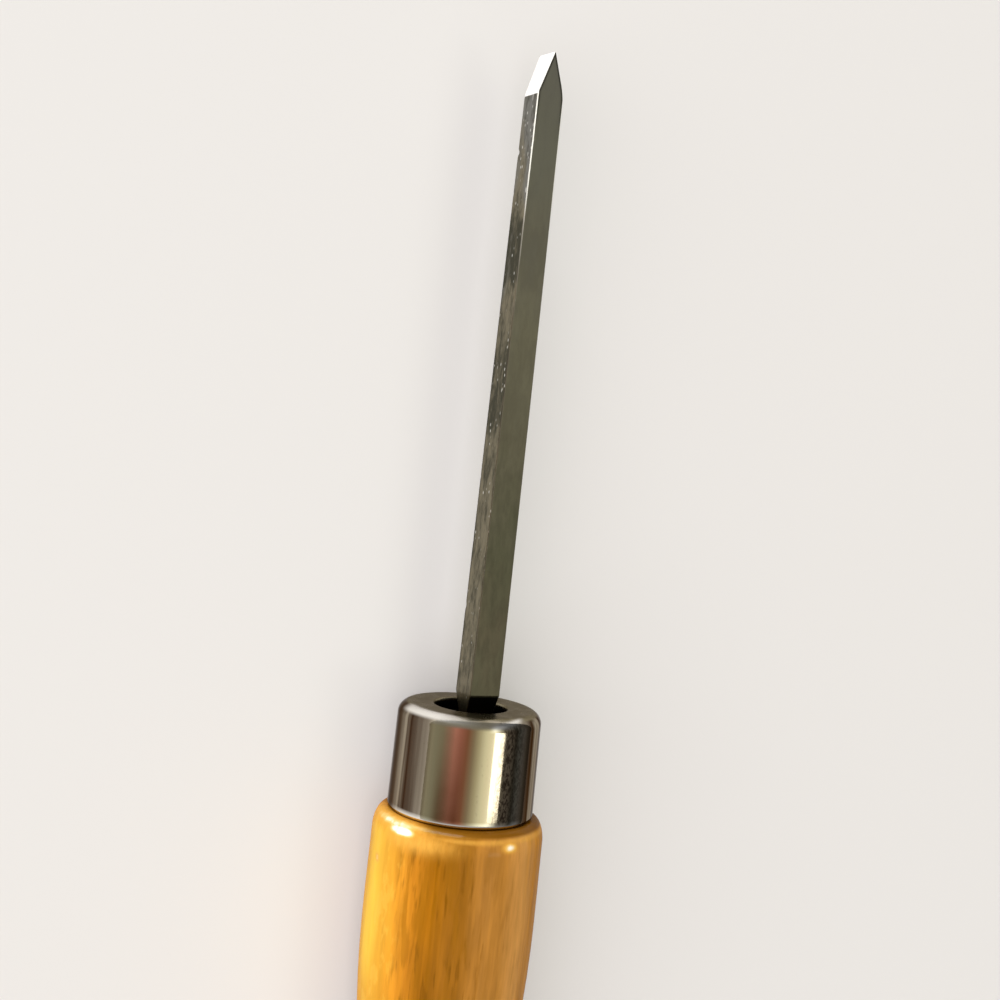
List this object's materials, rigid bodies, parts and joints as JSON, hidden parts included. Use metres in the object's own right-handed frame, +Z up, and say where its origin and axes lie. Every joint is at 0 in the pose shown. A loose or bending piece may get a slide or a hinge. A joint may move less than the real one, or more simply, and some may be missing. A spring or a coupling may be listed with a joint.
{
  "type": "woodturning chisel",
  "caption": "Slim lathe chisel: a square steel bar ground to a double-bevelled edge, its tang set in a plated cup ferrule and a turned, varnished wooden handle.",
  "frame": {"origin": "under the middle of the tool's length, on the surface that it lies on, below the handle's axis", "axes": "+X along the tool towards the cutting edge, +Z up from the surface it lies on, +Y across the blade towards one bevel; the cutting edge runs along Z"},
  "size_m": [0.3562, 0.0326, 0.0326],
  "materials": {
    "tool_steel": "satin ground steel with scuffs, bright at the bevels",
    "nickel_plate": "mirror-bright warm nickel plating",
    "varnished_wood": "glossy amber varnish over straight lengthwise grain"
  },
  "bodies": {
    "root": {"blade": "tool_steel", "ferrule": "nickel_plate", "handle": "varnished_wood"}
  },
  "joints": []
}
